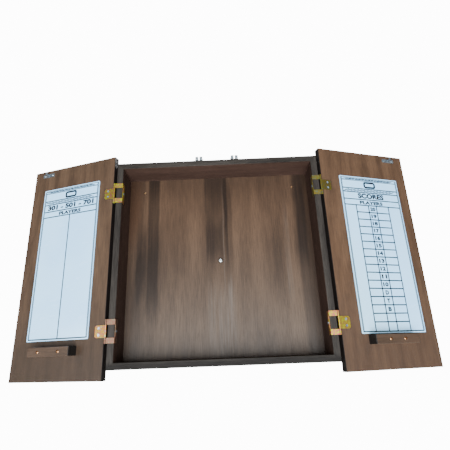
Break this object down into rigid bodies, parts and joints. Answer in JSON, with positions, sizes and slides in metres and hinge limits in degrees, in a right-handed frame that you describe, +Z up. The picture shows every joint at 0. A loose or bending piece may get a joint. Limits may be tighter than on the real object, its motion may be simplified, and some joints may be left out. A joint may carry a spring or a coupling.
{
  "type": "dart board cabinet",
  "caption": "Shallow square wall cabinet for a dart board: mitred frame, recessed back, two hinged doors with scoreboards, dart holders and roller catches.",
  "frame": {"origin": "on the wall plane, behind the centre of the board, which is the middle of the body", "axes": "+X right along the width with the doors open, +Y into the wall, +Z up; the open front faces -Y"},
  "size_m": [0.9942, 0.095, 0.532],
  "materials": {
    "frame_wood": "brown stain, front rims dark",
    "back_wood": "brown stained sheet, satin",
    "plain_wood": "unfinished",
    "door_wood": "brown stain, satin, dark edges",
    "white_board": "gloss dry-wipe sheet with printed lines",
    "yellow_zinc": "yellow passivated zinc",
    "zinc_steel": "bright zinc",
    "catch_steel": "bright zinc",
    "roller_nylon": "white nylon",
    "spring_steel": "bright wire",
    "brass": "brass plated"
  },
  "bodies": {
    "cabinet": {"top_panel": "frame_wood", "bottom_panel": "frame_wood", "left_side_panel": "frame_wood", "right_side_panel": "frame_wood", "back_panel": "back_wood", "hanging_rail": "plain_wood", "centre_block": "plain_wood", "board_hanging_screw": "zinc_steel", "corner_nails": "zinc_steel", "cabinet_hinge_leaf_upper_left": "yellow_zinc", "hinge_pin_upper_left": "yellow_zinc", "cabinet_hinge_leaf_lower_left": "yellow_zinc", "hinge_pin_lower_left": "yellow_zinc", "cabinet_hinge_leaf_upper_right": "yellow_zinc", "hinge_pin_upper_right": "yellow_zinc", "cabinet_hinge_leaf_lower_right": "yellow_zinc", "hinge_pin_lower_right": "yellow_zinc", "cabinet_hinge_screws": "yellow_zinc", "catch_base_left": "catch_steel", "catch_guide_rod_left": "catch_steel", "catch_base_right": "catch_steel", "catch_guide_rod_right": "catch_steel", "catch_base_screws": "catch_steel", "catch_spring_left_outer": "spring_steel", "catch_spring_left_inner": "spring_steel", "catch_spring_right_outer": "spring_steel", "catch_spring_right_inner": "spring_steel"},
    "left_door": {"left_door_panel": "door_wood", "left_scoreboard": "white_board", "left_dart_holder": "door_wood", "left_dart_holder_screws": "brass", "door_hinge_leaf_upper_left": "yellow_zinc", "door_hinge_leaf_lower_left": "yellow_zinc", "left_door_hinge_screws": "yellow_zinc", "left_catch_strike": "catch_steel", "left_catch_strike_screws": "catch_steel"},
    "right_door": {"right_door_panel": "door_wood", "right_scoreboard": "white_board", "right_dart_holder": "door_wood", "right_dart_holder_screws": "brass", "door_hinge_leaf_upper_right": "yellow_zinc", "door_hinge_leaf_lower_right": "yellow_zinc", "right_door_hinge_screws": "yellow_zinc", "right_catch_strike": "catch_steel", "right_catch_strike_screws": "catch_steel"},
    "roller_arm_left_outer": {"roller_arm_left_outer": "catch_steel", "roller_pin_left_outer": "catch_steel"},
    "roller_left_outer": {"catch_roller_left_outer": "roller_nylon"},
    "roller_arm_left_inner": {"roller_arm_left_inner": "catch_steel", "roller_pin_left_inner": "catch_steel"},
    "roller_left_inner": {"catch_roller_left_inner": "roller_nylon"},
    "roller_arm_right_outer": {"roller_arm_right_outer": "catch_steel", "roller_pin_right_outer": "catch_steel"},
    "roller_right_outer": {"catch_roller_right_outer": "roller_nylon"},
    "roller_arm_right_inner": {"roller_arm_right_inner": "catch_steel", "roller_pin_right_inner": "catch_steel"},
    "roller_right_inner": {"catch_roller_right_inner": "roller_nylon"}
  },
  "joints": [
    {"name": "left_door_hinge", "type": "hinge", "parent": "cabinet", "child": "left_door", "pos_m": [-0.255, -0.09175, 0], "axis": [0, 0, 1], "range_deg": [0, 197.35]},
    {"name": "right_door_hinge", "type": "hinge", "parent": "cabinet", "child": "right_door", "pos_m": [0.255, -0.09175, 0], "axis": [0, 0, -1], "range_deg": [0, 197.35]},
    {"name": "roller_arm_left_outer_slide", "type": "slide", "parent": "cabinet", "child": "roller_arm_left_outer", "axis": [-1, 0, 0], "range_m": [0, 0.0019], "stiffness_N_per_m": 1200, "springref_m": -0.0008, "deforming": ["catch_spring_left_outer"]},
    {"name": "roller_left_outer_spin", "type": "hinge", "parent": "roller_arm_left_outer", "child": "roller_left_outer", "pos_m": [-0.0496, -0.086, 0.2517], "axis": [0, 0, 1], "continuous": true},
    {"name": "roller_arm_left_inner_slide", "type": "slide", "parent": "cabinet", "child": "roller_arm_left_inner", "axis": [1, 0, 0], "range_m": [0, 0.0019], "stiffness_N_per_m": 1200, "springref_m": -0.0008, "deforming": ["catch_spring_left_inner"]},
    {"name": "roller_left_inner_spin", "type": "hinge", "parent": "roller_arm_left_inner", "child": "roller_left_inner", "pos_m": [-0.0404, -0.086, 0.2517], "axis": [0, 0, 1], "continuous": true},
    {"name": "roller_arm_right_outer_slide", "type": "slide", "parent": "cabinet", "child": "roller_arm_right_outer", "axis": [1, 0, 0], "range_m": [0, 0.0019], "stiffness_N_per_m": 1200, "springref_m": -0.0008, "deforming": ["catch_spring_right_outer"]},
    {"name": "roller_right_outer_spin", "type": "hinge", "parent": "roller_arm_right_outer", "child": "roller_right_outer", "pos_m": [0.0496, -0.086, 0.2517], "axis": [0, 0, 1], "continuous": true},
    {"name": "roller_arm_right_inner_slide", "type": "slide", "parent": "cabinet", "child": "roller_arm_right_inner", "axis": [-1, 0, 0], "range_m": [0, 0.0019], "stiffness_N_per_m": 1200, "springref_m": -0.0008, "deforming": ["catch_spring_right_inner"]},
    {"name": "roller_right_inner_spin", "type": "hinge", "parent": "roller_arm_right_inner", "child": "roller_right_inner", "pos_m": [0.0404, -0.086, 0.2517], "axis": [0, 0, 1], "continuous": true}
  ]
}
